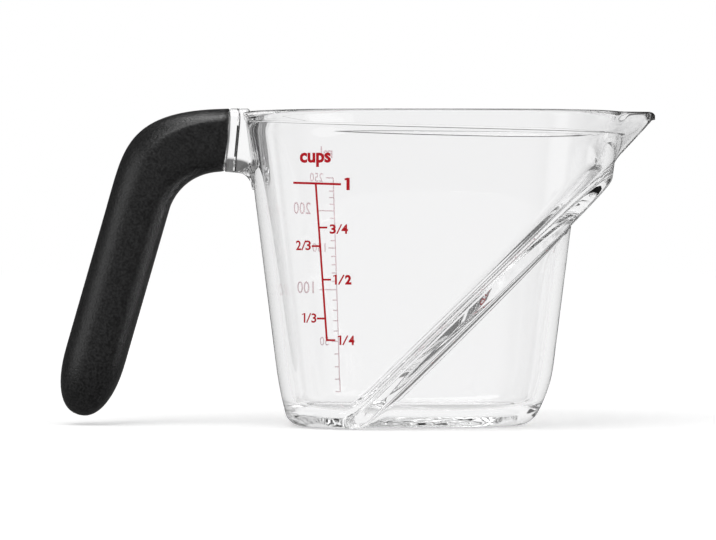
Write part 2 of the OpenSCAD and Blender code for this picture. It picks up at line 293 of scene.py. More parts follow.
# the furthest that the spout reaches at a place across and a height
def spoutAt(y, z):
    off = math.hypot(y, cup["tipRound"]) - cup["tipRound"]
    lip = spoutTip - off * spoutSlant
    under = max(0, cup["rimHeight"] + cup["tipRise"] - cup["tipDepth"] - z)
    keel = spoutTip - keelRun * under - off * spoutSlant * cup["keelFlat"]
    near = max(0, cup["noseRound"] - abs(lip - keel)) / cup["noseRound"] if under else 0
    return min(lip, keel) - near * near * cup["noseRound"] / 4


# a point near the spout is pulled out to the V, and up or down to its tip and round nose
def pullSpout(point, back):
    x, y, z = point
    fromX, halfY, fromZ = cup["spoutZone"]
    if x < fromX or abs(y) > halfY or z < fromZ:
        return point
    out = spoutAt(y, z) - back
    near = max(0, cup["spoutBlend"] - abs(x - out)) / cup["spoutBlend"]
    x = max(x, out) + near * near * cup["spoutBlend"] / 4
    past = max(0, min(1, (x - cup["mouthLength"] / 2) / cup["spoutReach"]))
    lift = max(0, min(1, 1 + (z - cup["rimHeight"]) / cup["riseDepth"]))
    nose = max(0, min(1, 1 + (x - spoutTip) / cup["noseLong"]))
    drop = cup["noseDrop"] * (1 - math.sqrt(1 - nose * nose))
    return (x, y, z + (cup["tipRise"] * past - drop) * lift)


# one column of the cup, from the middle of the base over the rim to the middle of the floor
def cupColumn(turn):
    wall = cup["wall"]
    rim = cup["rimHeight"]
    spoutBack = cup["spoutWall"] * math.sqrt(1 + spoutSlant ** 2 + keelRun ** 2)
    outer = skinLine(turn, inset=0, bottom=0, r=cup["baseRound"], ledgeRise=0, hollowAtWall=False)
    inner = skinLine(turn, inset=wall, bottom=cup["floor"], r=cup["floorRound"],
                     ledgeRise=ledgeUpright, hollowAtWall=True)
    outTop = (wallReach(turn, rim, -cup["lipFlare"]), rim)
    inTop = (wallReach(turn, rim, wall - cup["lipFlare"]), rim)
    d = cup["rimRound"]
    underLip, lipFoot = (add(outer[-1], share, cup["lipStep"]) for share in cup["stepShape"])
    count = cup["lipPoints"]
    outLip = [underLip] + evenPoints([lipFoot, outTop], 0, math.dist(lipFoot, outTop) - d, count)
    inLip = evenPoints([inner[-1], inTop], cup["inLipFrom"], math.dist(inner[-1], inTop) - d, count + 1)
    top = evenPoints([outTop, inTop], d, math.dist(outTop, inTop) - d, 2)
    count = cup["rimPoints"]
    outside = outer + outLip + softCorner(outLip[-1], outTop, top[0], count) + top[:1]
    inside = inner + inLip + softCorner(inLip[-1], inTop, top[1], count) + top[1:]

    def place(far, z, back):
        return pullSpout((far * math.cos(turn), far * math.sin(turn), z), back)

    column = [(0, 0, 0)] + [place(far, z, 0) for far, z in outside]
    column += [place(far, z, spoutBack) for far, z in reversed(inside)] + [(0, 0, cup["floor"])]
    return column


# the columns stand closer at the spout
def makeCup():
    half = cup["spoutTurn"]
    turns = [mix(-half, half, i / cup["spoutColumns"]) for i in range(cup["spoutColumns"])]
    turns += [mix(half, 2 * math.pi - half, i / cup["columns"]) for i in range(cup["columns"])]
    columns = [cupColumn(turn) for turn in turns]
    rings = [[column[k] for column in columns] for k in range(len(columns[0]))]
    return rollTube("cupBody", rings)


# neck, flange and tang, moulded with the cup
neck = dict(
    rise=1.3, height=17.0, width=17.0, length=4.8, tilt=5.6, squareness=4.6,
    flange=3.0, flangeRound=0.4, step=0.7, rootRound=3.8, sink=1.3, topRound=0.4,
    tangHeight=8.0, tangThick=6.0, tangFill=0.78, tangSquare=8,
    underFade=3, gapTries=6, rootRings=12,
    tangBend=24, tangRun=10, tangEnd=5, endShort=0.4, endNarrow=0.4, around=96)

grip = dict(
    reach=25.8, bendDrop=10.0, bendPull=0.58, lean=16.1, clear=2.5, depth=16.5, width=21.0,
    endLength=17.2, endSquare=2.3, wideBy=0.8, roundBy=0.62, backLonger=1.35,
    # at the end face and down the run: squareness, where the back meets the sides, crispness
    square=(5.0, 2.5), backAt=(-0.66, 0.1), crisp=(70, 9), faceBulge=0.6, bulgeBy=0.12,
    fitGap=0.15, seatGap=0.06, edgeRound=0.5, edgeShare=0.3,
    bendRings=34, runRings=26, endRings=14, endShort=0.4, around=96)


# end face of the grip and its directions in the side view, then those of the straight run
tilt = math.radians(neck["tilt"])
lean = math.radians(grip["lean"])
faceMid = (-cup["mouthLength"] / 2 - neck["length"],
           cup["rimHeight"] + neck["rise"] - neck["height"] / 2)
faceUp = (math.sin(tilt), math.cos(tilt))
faceOut = (-math.cos(tilt), math.sin(tilt))
faceTop = add(faceMid, faceUp, neck["height"] / 2)
faceLow = add(faceMid, faceUp, -neck["height"] / 2)
runDown = (-math.sin(lean), -math.cos(lean))
runIn = (math.cos(lean), -math.sin(lean))

# corners that the two sides of the bend round off, and where the bend ends
outCorner = (faceTop[0] - grip["reach"], faceTop[1])
sideShift = grip["depth"] / math.cos(lean) - (faceTop[1] - faceLow[1]) * math.tan(lean)
inCorner = (outCorner[0] + sideShift, faceLow[1])
inEnd = add(inCorner, runDown, grip["bendDrop"])
outEnd = add(inEnd, runIn, -grip["depth"])
midEnd = add(inEnd, runIn, -grip["depth"] / 2)
runLength = (midEnd[1] - grip["clear"]) / math.cos(lean) - grip["endLength"]


# one side of the bend, from p round its corner to q
def bendSide(p, corner, q, pull, t):
    hold = tuple(mix(a, b, pull) for a, b in zip(q, corner))
    return tuple((1 - t) ** 3 * a + 3 * t * (1 - t) ** 2 * b + 3 * t * t * (1 - t) * c + t ** 3 * d
                 for a, b, c, d in zip(p, corner, hold, q))


# outer and inner point of the handle, round the bend and down a share of the straight run
def handleStations(bendCount, runCount, fill=1.0):
    stations = []
    for i in range(bendCount + 1):
        t = i / bendCount
        stations.append((bendSide(faceTop, outCorner, outEnd, grip["bendPull"], t),
                         bendSide(faceLow, inCorner, inEnd, 0, t)))
    for i in range(1, runCount + 1):
        down = fill * runLength * i / runCount
        stations.append((add(outEnd, runDown, down), add(inEnd, runDown, down)))
    return stations


# a squarish ring between an outer and an inner point of the side view
def handleRing(outer, inner, halfWide, n, around):
    middle = tuple((a + b) / 2 for a, b in zip(outer, inner))
    half = tuple((b - a) / 2 for a, b in zip(outer, inner))
    ring = []
    for i in range(around):
        turn = 2 * math.pi * i / around
        reach = (abs(math.cos(turn)) ** n + abs(math.sin(turn)) ** n) ** (-1 / n)
        p = add(middle, half, reach * math.cos(turn))
        ring.append((p[0], halfWide * reach * math.sin(turn), p[1]))
    return ring


# a ring of the tang at a station, grown by a gap
def tangRing(station, gap, around, shrink=1.0, narrow=1.0, push=0.0):
    outer, inner = station
    middle = add(tuple((a + b) / 2 for a, b in zip(outer, inner)), runDown, push)
    across = add(inner, outer, -1)
    half = (neck["tangHeight"] / 2 + gap) * shrink / math.hypot(*across)
    return handleRing(add(middle, across, -half), add(middle, across, half),
                      (neck["tangThick"] / 2 + gap) * narrow, neck["tangSquare"], around)


def tangRings(gap, around):
    stations = handleStations(neck["tangBend"], neck["tangRun"], neck["tangFill"])
    rings = [tangRing(station, gap, around) for station in stations]
    # the round end stops a little short of its pole
    for i in range(1, neck["tangEnd"] + 1):
        a = math.radians(90 * i / (neck["tangEnd"] + neck["endShort"]))
        push = (neck["tangHeight"] / 2 + gap) * math.sin(a)
        narrow = mix(1, math.cos(a), neck["endNarrow"])
        rings.append(tangRing(stations[-1], gap, around, math.cos(a), narrow, push))
    return rings


# the neck from inside the wall out to the flange, then the tang
def makeNeck():
    around = neck["around"]

    # the top stays level, the underside follows the tilt
    def ringAt(far, inset, sideInset):
        top = add((faceTop[0] + far * math.cos(tilt), faceTop[1]), faceUp, -inset)
        low = add(add(faceLow, faceOut, -far), faceUp, inset)
        return handleRing(top, low, neck["width"] / 2 - sideInset, neck["squareness"], around)

    # how far a point of the flange is from the wall, along the neck
    def wallGap(x, y, z):
        far = neck["length"]
        for _ in range(neck["gapTries"]):
            far += -wallEnd(y, min(cup["rimHeight"], z - far * faceOut[1])) - (x - far * faceOut[0])
        return far

    flange = ringAt(neck["flange"], 0, neck["step"])
    rings = []
    for k in range(neck["rootRings"], -1, -1):
        f = k / neck["rootRings"]
        ring = []
        for x, y, z in flange:
            far = wallGap(x, y, z)
            s = far * f
            # only the underside spreads, in a quarter round that ends on the wall
            under = max(0, (faceMid[1] - z) / (neck["height"] / 2)) ** neck["underFade"]
            over = max(0, s - far + neck["rootRound"]) / neck["rootRound"]
            drop = neck["rootRound"] * (1 - math.sqrt(max(0, 1 - over * over))) * under
            level = max(0, (z - faceMid[1]) / (neck["height"] / 2))
            ring.append((x - faceOut[0] * s, y, z - faceOut[1] * s * max(0, 1 - level) - drop))
        rings.append(ring)
    # the end is inside the wall, and its top lies rounded on the rim
    r = neck["topRound"]
    sunk = [(x + neck["sink"] - r, y, z) for x, y, z in rings[0]]
    end = [(x + r, y, z - r * max(0, min(1, z - cup["rimHeight"]))) for x, y, z in sunk]
    r = neck["flangeRound"]
    rings = [end, sunk] + rings
    rings += [ringAt(neck["flange"], r, r), ringAt(neck["flange"] - r, 0, 0)]
    rings += [ringAt(r, 0, 0), ringAt(0, r, r)]
    rings += tangRings(0, around)
    return rollTube("neck", rings)


cupBody = makeCup()
print("cup skin", len(cupBody.data.polygons))
neckPart = makeNeck()
applyModifier(cupBody, "BOOLEAN", operation="UNION", solver="EXACT", object=neckPart)
bpy.data.objects.remove(neckPart)


# section of the grip, -1 at its back to 1 inside: flat sides cut by an arched back, softer below
def gripOutline(f, around):
    square, backAt, crisp = (mix(*grip[key], f) for key in ("square", "backAt", "crisp"))
    wideBack = 1 / math.sqrt(1 - ((1 - backAt) / 2) ** 2)
    outline = []
    for i in range(around):
        turn = 2 * math.pi * i / around
        deep, across = math.cos(turn), math.sin(turn)
        longer = grip["backLonger"] if deep < 0 else 1.0
        side = ((abs(deep) / longer) ** square + abs(across) ** square) ** (-1 / square)
        # arch about the inner edge: ((1 - x) / 2)^2 + (y / wideBack)^2 = 1
        a = deep * deep / 4 + (across / wideBack) ** 2
        back = (deep / 2 + math.sqrt(deep * deep / 4 + 3 * a)) / (2 * a)
        reach = -math.log(math.exp(-crisp * side) + math.exp(-crisp * back)) / crisp
        outline.append((reach * deep, reach * across))
    return outline


def makeGrip():
    around = grip["around"]
    stations = handleStations(grip["bendRings"], grip["runRings"])
    last = len(stations) - 1

    # a ring at a share of the length, pushed on and shrunk for the end, or set in for the edge
    def section(station, f, shrink=1.0, push=(0, 0), inset=0.0):
        widened = math.sin(math.pi / 2 * min(1, f / grip["wideBy"])) ** 2
        wide = mix(neck["width"], grip["width"], widened)
        outer, inner = (add(p, push) for p in station)
        middle = tuple((a + b) / 2 for a, b in zip(outer, inner))
        keep = shrink * (1 - 2 * inset / math.dist(outer, inner))
        half = tuple((b - a) / 2 * keep for a, b in zip(outer, inner))
        halfWide = wide / 2 * shrink - inset
        bulge = grip["faceBulge"] * max(0, 1 - f / grip["bulgeBy"]) ** 2
        ring = []
        for deep, across in gripOutline(min(1, f / grip["roundBy"]), around):
            p = add(add(middle, half, deep), faceOut, -bulge * (1 - deep * deep))
            ring.append((p[0], halfWide * across, p[1]))
        return ring

    r = grip["edgeRound"]
    face = stations[0]
    seat = add((0, 0), faceOut, grip["seatGap"])
    rings = list(reversed(tangRings(grip["fitGap"], around)))
    rings[-1] = [(x + seat[0], y, z + seat[1]) for x, y, z in rings[-1]]
    rings.append(section(face, 0, push=seat, inset=r))
    part = grip["edgeShare"] * r
    rings.append(section(face, 0, push=add(seat, faceOut, part), inset=part))
    rings.append(section(face, 0, push=add(seat, faceOut, r)))
    for k in range(1, last + 1):
        rings.append(section(stations[k], k / last))
    for i in range(1, grip["endRings"] + 1):
        a = math.radians(90 * i / (grip["endRings"] + grip["endShort"]))
        along = grip["endLength"] * math.sin(a) ** (2 / grip["endSquare"])
        shrink = math.cos(a) ** (2 / grip["endSquare"])
        rings.append(section(stations[last], 1, shrink, add((0, 0), runDown, along)))
    return rollTube("handleGrip", rings)


handleGrip = makeGrip()
finishPiece(handleGrip, "handle_grip", smoothAngle=60)


# printed scales: each mark is within half a millimetre of the height that its volume fills to
scales = dict(
    lineWidth=0.5, inkThick=0.06, lift=0.03, cutStep=0.8, cutRatio=3, backFrom=-0.3, letterSteps=3,
    cupMarks=(64.5, 53.05, 48.2, 39.45, 29.25, 23.6),
    cupAt=-32.3, cupLean=4.0, cupBar=12.45, barShift=0.35, barTilt=-2.1, barWeight=1.15, cupTick=2.2,
    # a title has a height, a shift, a size and a weight; a figure a shift, a size and a weight
    cupTitle=(70.65, 0.33, (8.1, 3.75), 0.035), cupOne=((8.4, -0.15), 3.2, 0.85),
    fractions=(("3", "4", (5.2, -0.4), (4.75, 2.5), 0.03), ("2", "3", (-4.4, 0.2), (3.9, 2.55), 0.02),
               ("1", "2", (5.2, 0), (4.65, 2.55), 0.05), ("1", "3", (-4.15, 0.1), (3.55, 2.5), 0.02),
               ("1", "4", (5.1, 0), (4.2, 2.5), 0.04)),
    mlMarks=((250, 66.8), (200, 57.6), (150, 47.2), (100, 35.6), (50, 21.25), (10, 7.3)),
    mlAt=-28.45, mlLean=1.75, mlLineWidth=0.3,
    mlTick=1.4, mlMidTick=2.2, mlMidEvery=50, mlLongTick=5.5, mlLongEvery=100,
    # width of a digit, height, gap to the tick and shift up
    mlSmall=(1.4, 2.45, 0.9, 0.1), mlLarge=(5.8 / 3, 3.3, 1.9, 0.6),
    mlTitle=(74.0, -1.8, (3.6, 3.2), 0.01))

# parts of a figure one, as shares of its height, and of a fraction, as shares of its width
figures = dict(
    flagEnd=(-0.28, 0.36), flagTop=(0, 0.45), flagWeight=0.6,
    oneAt=0.13, oneSlash=(0.28, 0.58), overAt=0.17, overWide=0.34, overSlash=(0.39, 0.65),
    underAt=0.82, underWide=0.36, slashWeight=0.8, thinnest=0.3, thickBy=4)


def join(name, pieces):
    clearSelection()
    for piece in pieces:
        piece.select_set(True)
    bpy.context.view_layer.objects.active = pieces[0]
    bpy.ops.object.join()
    joined = bpy.context.object
    joined.name = name
    return joined


# a printed line in the flat, from one point to another
def stroke(p, q, width):
    clearSelection()
    middle = ((p[0] + q[0]) / 2, (p[1] + q[1]) / 2, 0)
    bpy.ops.mesh.primitive_plane_add(size=1, location=middle)
    line = bpy.context.object
    line.scale = (math.dist(p, q), width, 1)
    line.rotation_euler = (0, 0, math.atan2(q[1] - p[1], q[0] - p[0]))
    bpy.ops.object.transform_apply(location=True, rotation=True, scale=True)
    return line


# a printed word or number in the flat, fitted to its width and height
def label(text, middle, size, weight=0.0):
    clearSelection()
    bpy.ops.object.text_add()
    word = bpy.context.object
    word.data.body = text
    word.data.offset = weight
    word.data.resolution_u = scales["letterSteps"]
    bpy.ops.object.convert(target="MESH")
    word = bpy.context.object
    low = [min(v.co[k] for v in word.data.vertices) for k in (0, 1)]
    high = [max(v.co[k] for v in word.data.vertices) for k in (0, 1)]
    for v in word.data.vertices:
        for k in (0, 1):
            v.co[k] = middle[k] + ((v.co[k] - low[k]) / (high[k] - low[k]) - 0.5) * size[k]
    return word


# cut the flat print into narrow bands, so that it can follow the wall
def cutBands(piece, step):
    makeActive(piece)
    bpy.ops.object.mode_set(mode="EDIT")
    for axis in (0, 1):
        places = [v.co[axis] for v in piece.data.vertices]
        for i in range(1, int((max(places) - min(places)) / step) + 1):
            bpy.ops.mesh.select_all(action="SELECT")
            at, normal = [0, 0, 0], [0, 0, 0]
            at[axis], normal[axis] = min(places) + i * step, 1
            bpy.ops.mesh.bisect(plane_co=at, plane_no=normal)
        step *= scales["cutRatio"]
    bpy.ops.object.mode_set(mode="OBJECT")


# give the print its thickness, with the side towards the plastic in a paler ink, a paleness painted in
# for the light that comes through the thin ink
def thicken(piece, outward):
    applyModifier(piece, "SOLIDIFY", thickness=scales["inkThick"], offset=0)
    bpy.ops.object.mode_set(mode="EDIT")
    bpy.ops.mesh.select_all(action="SELECT")
    bpy.ops.mesh.normals_make_consistent(inside=False)
    bpy.ops.object.mode_set(mode="OBJECT")
    for face in piece.data.polygons:
        facing = sum(a * b for a, b in zip(face.normal, outward))
        face.material_index = 0 if facing > scales["backFrom"] else 1


# stand the flat print up beside the cup and press it on the wall
def wrapOnWall(piece, side):
    cutBands(piece, scales["cutStep"])
    makeActive(piece)
    for v in piece.data.vertices:
        v.co = (v.co.x, side * cup["mouthWidth"], v.co.y)
    applyModifier(piece, "SHRINKWRAP", target=cupBody, wrap_method="PROJECT", wrap_mode="ABOVE_SURFACE",
                  use_project_y=True, use_positive_direction=side < 0, use_negative_direction=side > 0,
                  offset=scales["lift"] + scales["inkThick"] / 2)
    thicken(piece, (0, side, 0))


# a plain figure one: an upright and a short flag at its top
def one(middle, height, weight):
    foot, top = (add(middle, (0, share), height) for share in (-0.5, 0.5))
    flagEnd, flagTop = (add(middle, figures[key], height) for key in ("flagEnd", "flagTop"))
    return [stroke(foot, top, weight), stroke(flagEnd, flagTop, figures["flagWeight"] * weight)]


# a fraction on one line: figure, slash, figure
def fraction(over, under, middle, size, weight):
    wide, high = size
    thick = figures["thinnest"] + figures["thickBy"] * weight

    def at(share, up=0.0):
        return add(middle, ((share - 0.5) * wide, up * high))

    if over == "1":
        pieces = one(at(figures["oneAt"]), high, thick)
        slash = figures["oneSlash"]
    else:
        pieces = [label(over, at(figures["overAt"]), (figures["overWide"] * wide, high), weight)]
        slash = figures["overSlash"]
    pieces.append(stroke(at(slash[0], -0.5), at(slash[1], 0.5), figures["slashWeight"] * thick))
    pieces.append(label(under, at(figures["underAt"]), (figures["underWide"] * wide, high), weight))
    return pieces


def stemAt(z, at, lean):
    return (at + (cup["rimHeight"] - z) * math.tan(math.radians(lean)), z)


def makeCupScale():
    width = scales["lineWidth"]

    def on(z, by=0.0, up=0.0):
        return add(stemAt(z, scales["cupAt"], scales["cupLean"]), (by, up))

    heights = scales["cupMarks"]
    half = scales["cupBar"] / 2
    drop = half * math.tan(math.radians(scales["barTilt"]))
    pieces = [stroke(on(heights[0]), on(heights[-1], 0, -width / 2), width)]
    middle = on(heights[0], scales["barShift"])
    bar = add(middle, (-half, -drop)), add(middle, (half, drop))
    pieces.append(stroke(*bar, scales["barWeight"] * width))
    z, by, size, weight = scales["cupTitle"]
    pieces.append(label("cups", on(z, by), size, weight))
    shift, size, weight = scales["cupOne"]
    pieces += one(on(heights[0], *shift), size, weight)
    # each tick points to its fraction
    for z, (over, under, shift, size, weight) in zip(heights[1:], scales["fractions"]):
        pieces.append(stroke(on(z), on(z, math.copysign(scales["cupTick"], shift[0])), width))
        pieces += fraction(over, under, on(z, *shift), size, weight)
    scale = join("cupScale", pieces)
    wrapOnWall(scale, -1)
    return scale


def makeMlScale():
    width = scales["mlLineWidth"]
    marks = scales["mlMarks"]

    def on(z, by=0.0, up=0.0):
        return add(stemAt(z, scales["mlAt"], scales["mlLean"]), (by, up))

    # height of a volume between two marks
    def heightOf(ml):
        for (more, high), (less, low) in zip(marks, marks[1:]):
            if ml >= less:
                return mix(low, high, (ml - less) / (more - less))

    def isLong(ml):
        return ml % scales["mlLongEvery"] == 0

    def tickOf(ml):
        if ml % scales["mlMidEvery"]:
            return scales["mlTick"]
        return scales["mlLongTick"] if isLong(ml) else scales["mlMidTick"]

    pieces = [stroke(on(marks[0][1]), on(marks[-1][1]), width)]
    every = marks[-1][0]
    for ml in range(every, marks[0][0] + 1, every):
        pieces.append(stroke(on(heightOf(ml)), on(heightOf(ml), -tickOf(ml)), width))
    for ml, z in marks[:-1]:
        digit, high, gap, up = scales["mlLarge"] if isLong(ml) else scales["mlSmall"]
        wide = digit * len(str(ml))
        word = label(str(ml), (0, 0), (wide, high))
        pieces.append(turnOver(word, on(z, -tickOf(ml) - gap - wide / 2, up)))
    z, by, size, weight = scales["mlTitle"]
    pieces.append(turnOver(label("ml", (0, 0), size, weight), on(z, by)))
    scale = join("millilitreScale", pieces)
    wrapOnWall(scale, 1)
    return scale


# flip a flat word left to right, so that it reads from the far side, and put it in its place
def turnOver(word, place):
    for v in word.data.vertices:
        v.co = (place[0] - v.co.x, place[1] + v.co.y, 0)
    makeActive(word)
    bpy.ops.object.mode_set(mode="EDIT")
    bpy.ops.mesh.select_all(action="SELECT")
    bpy.ops.mesh.flip_normals()
    bpy.ops.object.mode_set(mode="OBJECT")
    return word


ledgePrint = dict(
    rowHeight=28, stemInset=4.7, tick=2.2, numberIn=2.3, numberSize=(3.6, 2.3), numberWeight=0.02,
    depth=0.05)


# marks on the underside of the ledge, read from above through it, one row at each side
def makeLedgeScale():
    width = scales["lineWidth"]
    slope = math.radians(cup["ledgeAngle"])
    row = halfWidth(ledgePrint["rowHeight"]) - ledgePrint["stemInset"]
    runs = [(z - ledgeUpright) / math.sin(slope) for z in scales["cupMarks"][1:]]
    low, high = runs[-1] - width / 2, runs[0] + width / 2
    pieces = []
    for side in (-1, 1):
        pieces.append(stroke((low, side * row), (high, side * row), width))
        for (over, under, *_), run in zip(scales["fractions"], runs):
            pieces.append(stroke((run, side * row), (run, side * (row + ledgePrint["tick"])), width))
            word = label(over + "/" + under, (0, 0), ledgePrint["numberSize"],
                         ledgePrint["numberWeight"])
            for v in word.data.vertices:
                v.co = (run - side * v.co.x, side * (row - ledgePrint["numberIn"] - v.co.y), 0)
            pieces.append(word)
    scale = join("ledgeScale", pieces)
    makeActive(scale)
    bpy.ops.transform.translate(value=(0, 0, -ledgePrint["depth"] - scales["inkThick"] / 2))
    bpy.ops.object.transform_apply(location=True, rotation=True, scale=True)
    for v in scale.data.vertices:
        x, y, z = v.co
        v.co = (cup["ledgeFoot"] + x * math.cos(slope) - z * math.sin(slope), y,
                x * math.sin(slope) + z * math.cos(slope))
    thicken(scale, (math.sin(slope), 0, -math.cos(slope)))
    return scale


cupScale = makeCupScale()
millilitreScale = makeMlScale()
ledgeScale = makeLedgeScale()
finishPiece(cupBody, "cup_body")
finishPiece(cupScale, "cups_scale")
finishPiece(millilitreScale, "millilitre_scale")
finishPiece(ledgeScale, "ledge_scale")


# helpers for the nodes of a finish or of the sky: plug sets or links an input,
# the others add a node and give back its output
def plug(tree, value, socket):
    if isinstance(value, (int, float)):
        socket.default_value = value
    else:
        tree.links.new(value, socket)


def calc(tree, operation, first, second=0.0):
    node = tree.nodes.new("ShaderNodeMath")
    node.operation = operation
    plug(tree, first, node.inputs[0])
    plug(tree, second, node.inputs[1])
    return node.outputs[0]


def ramp(tree, value, limits, ends, soft=False):
    node = tree.nodes.new("ShaderNodeMapRange")
    if soft:
        node.interpolation_type = "SMOOTHSTEP"
    for key, level in zip(("From Min", "From Max", "To Min", "To Max"), (*limits, *ends)):
        node.inputs[key].default_value = level
    tree.links.new(value, node.inputs["Value"])
    return node.outputs["Result"]


def axes(tree, vector):
    node = tree.nodes.new("ShaderNodeSeparateXYZ")
    tree.links.new(vector, node.inputs[0])
    return [node.outputs[key] for key in "XYZ"]


def vectorCalc(tree, operation, first, second=(0, 0, 0)):
    node = tree.nodes.new("ShaderNodeVectorMath")
    node.operation = operation
    tree.links.new(first, node.inputs[0])
    node.inputs[1].default_value = second
    return node.outputs["Value"]


def objectPlace(tree):
    return tree.nodes.new("ShaderNodeTexCoord").outputs["Object"]


def noise(tree, place, scale, detail):
    node = tree.nodes.new("ShaderNodeTexNoise")
    node.inputs["Scale"].default_value = scale
    node.inputs["Detail"].default_value = detail
    tree.links.new(place, node.inputs["Vector"])
    return node.outputs["Fac"]


def tones(tree, value, colours, places=(0.0, 1.0)):
    node = tree.nodes.new("ShaderNodeValToRGB")
    for element, colour, place in zip(node.color_ramp.elements, colours, places):
        element.position = place
        element.color = colour
    tree.links.new(value, node.inputs["Fac"])
    return node.outputs["Color"]


def bump(tree, height, strength, distance):
    node = tree.nodes.new("ShaderNodeBump")
    node.inputs["Strength"].default_value = strength
    node.inputs["Distance"].default_value = distance
    tree.links.new(height, node.inputs["Height"])
    return node.outputs["Normal"]


# each kind of ray takes its own level in place of the one before
def levelByRay(tree, rays, level, others):
    for ray, other in others:
        kept = calc(tree, "MULTIPLY", calc(tree, "SUBTRACT", 1.0, rays[ray]), level)
        level = calc(tree, "ADD", kept, calc(tree, "MULTIPLY", rays[ray], other))
    return level


def newFinish(name):
    finish = bpy.data.materials.new(name)
    finish.use_nodes = True
    return finish, finish.node_tree, finish.node_tree.nodes["Principled BSDF"].inputs


plastic = dict(
    # the darker colour is painted shade, for the rim's crown and the spout's nose
    clear=(0.968, 0.968, 0.97, 1), edge=(0.003, 0.003, 0.003, 1), bending=1.5,
    flowScale=35, flowDetail=1, flowBump=(0.05, 0.0004), haze=(0.0, 0.012),
    # ranges of height and length, in mm, over which painted shade darkens the crown of the rim and the
    # nose
    crownShadeRise=(83.2, 83.6), crownShadeFrom=(-49.5, -48.5), crownShadeShare=0.96, crownShadeLevel=(0.97, 0.88),
    noseShadeRise=(80.8, 81.8), noseShadeFrom=(57.9, 58.9))


def clearPlastic():
    finish, tree, shader = newFinish("clearPlastic")
    shader["Transmission Weight"].default_value = 1.0
    shader["IOR"].default_value = plastic["bending"]
    place = objectPlace(tree)
    # slow flow of the moulding
    flow = noise(tree, place, plastic["flowScale"], plastic["flowDetail"])
    tree.links.new(bump(tree, flow, *plastic["flowBump"]), shader["Normal"])
    tree.links.new(ramp(tree, flow, (0, 1), plastic["haze"]), shader["Roughness"])

    # grows over a range in millimetres
    def share(value, limits, most=1.0):
        return ramp(tree, value, [limit * mm for limit in limits], (0, most))

    # painted shade: the round edges are coloured near-black in place of the dark lines seen through
    # them, at a height that leaves out the rise of the spout's tip
    x, _, z = axes(tree, place)
    rise = share(x, (cup["mouthLength"] / 2, spoutTip), cup["tipRise"] * mm)
    level = calc(tree, "SUBTRACT", z, rise)
    crownShade = calc(tree, "MULTIPLY", share(level, plastic["crownShadeRise"], plastic["crownShadeShare"]),
                 share(x, plastic["crownShadeFrom"]))
    # the level top of the crown stays clear of the painted shade
    upward = axes(tree, tree.nodes.new("ShaderNodeNewGeometry").outputs["Normal"])[2]
    sides = ramp(tree, calc(tree, "ABSOLUTE", upward), plastic["crownShadeLevel"], (0, 1))
    crownShade = calc(tree, "MULTIPLY", crownShade, sides)
    # the spout's nose takes the same painted shade
    nose = calc(tree, "MULTIPLY", share(level, plastic["noseShadeRise"]), share(x, plastic["noseShadeFrom"]))
    edge = calc(tree, "MAXIMUM", crownShade, nose)
    tree.links.new(tones(tree, edge, (plastic["clear"], plastic["edge"])), shader["Base Color"])
    return finish


rubber = dict(
    tones=((0.004, 0.004, 0.0042, 1), (0.026, 0.026, 0.0265, 1)), toneEnds=(0.35, 0.65),
    grainScale=1700, grainDetail=3, grainBump=(0.6, 0.00022), rough=(0.26, 0.4), shine=0.5)


def softBlack():
    finish, tree, shader = newFinish("softBlack")
    grain = noise(tree, objectPlace(tree), rubber["grainScale"], rubber["grainDetail"])
    tree.links.new(tones(tree, grain, rubber["tones"], rubber["toneEnds"]), shader["Base Color"])
    tree.links.new(ramp(tree, grain, (0, 1), rubber["rough"]), shader["Roughness"])
    tree.links.new(bump(tree, grain, *rubber["grainBump"]), shader["Normal"])
    shader["Specular IOR Level"].default_value = rubber["shine"]
    return finish


ink = dict(
    face=((0.52, 0.008, 0.014, 1), (0.64, 0.012, 0.022, 1)), faceGlow=0.0,
    # the side towards the plastic is the red ink painted pale, with a painted glow, standing in for
    # light that comes through the thin ink
    back=((0.96, 0.72, 0.75, 1), (1.0, 0.77, 0.8, 1)), backPaintedGlow=0.2,
    speckleScale=3000, speckleDetail=2, rough=0.5, shine=0.15)


def printInk(name, colours, glow):
    finish, tree, shader = newFinish(name)
    speckle = noise(tree, objectPlace(tree), ink["speckleScale"], ink["speckleDetail"])
    tone = tones(tree, speckle, colours)
    tree.links.new(tone, shader["Base Color"])
    shader["Roughness"].default_value = ink["rough"]
    shader["Specular IOR Level"].default_value = ink["shine"]
    # painted light: a glow in the ink's own colour stands in for light that comes through thin ink
    tree.links.new(tone, shader["Emission Color"])
    shader["Emission Strength"].default_value = glow
    return finish


plasticFinish = clearPlastic()
gripFinish = softBlack()
inkFinish = printInk("redInk", ink["face"], ink["faceGlow"])
inkBackPaintedGlowFinish = printInk("inkBackPaintedGlow", ink["back"], ink["backPaintedGlow"])


def dress(piece, *finishes):
    for finish in finishes:
        piece.data.materials.append(finish)


dress(cupBody, plasticFinish)
dress(handleGrip, gripFinish)
for scale in (cupScale, millilitreScale, ledgeScale):
    dress(scale, inkFinish, inkBackPaintedGlowFinish)
print("finishes on")


